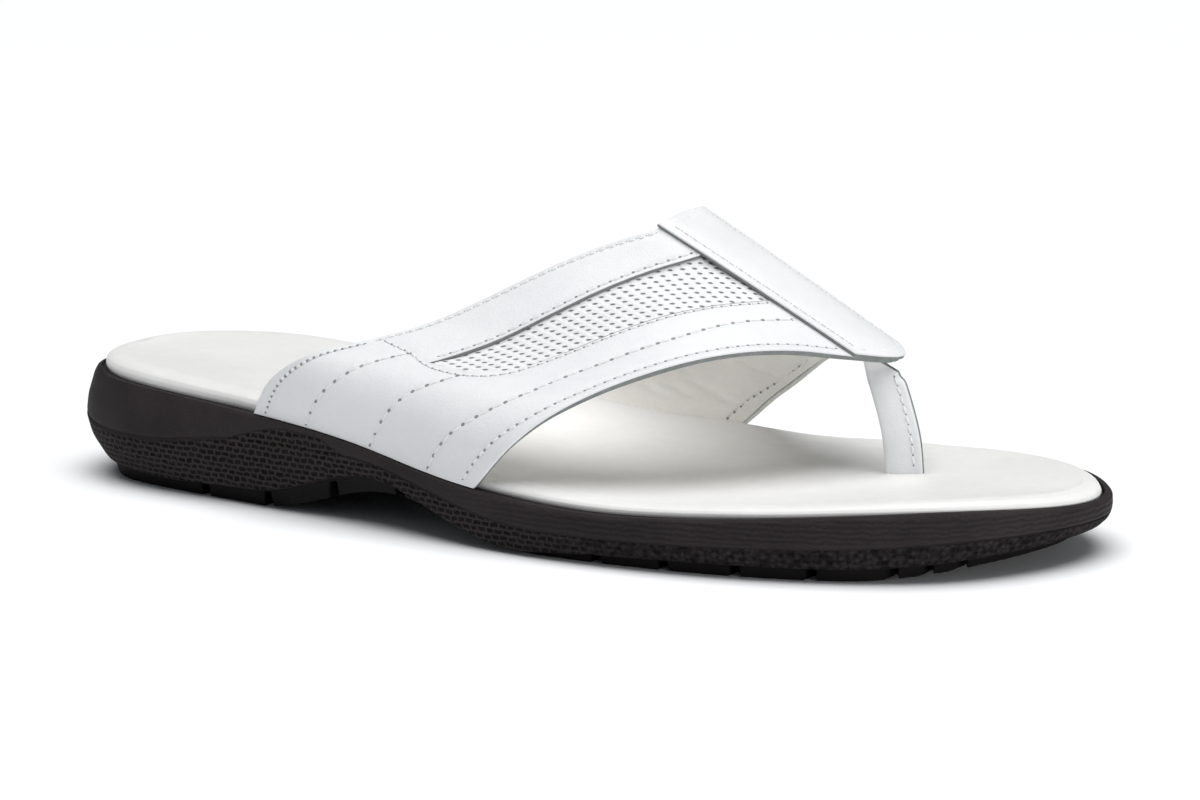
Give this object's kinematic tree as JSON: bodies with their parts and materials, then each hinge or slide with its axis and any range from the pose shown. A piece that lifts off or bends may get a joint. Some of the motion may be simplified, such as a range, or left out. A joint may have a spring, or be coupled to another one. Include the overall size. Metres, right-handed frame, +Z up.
{
  "type": "leather thong sandal",
  "caption": "Right-foot thong sandal: contoured rubber sole, padded footbed, leather strap wings joined over the instep, centre band and toe post.",
  "frame": {"origin": "on the floor under the centre of the bounding box", "axes": "+X to the toe, +Y to the inner side of the foot, +Z up"},
  "size_m": [0.2859, 0.1119, 0.0779],
  "materials": {
    "outsole": "matt moulded rubber",
    "footbed": "smooth grained leather",
    "upper": "smooth grained leather",
    "centre_strap": "smooth grained leather",
    "panel_outer": "smooth grained leather",
    "panel_inner": "smooth grained leather",
    "toe_post": "smooth grained leather"
  },
  "bodies": {
    "root": {"outsole": "outsole", "footbed": "footbed", "upper": "upper", "centre_strap": "centre_strap", "panel_outer": "panel_outer", "panel_inner": "panel_inner", "toe_post": "toe_post"}
  },
  "joints": []
}
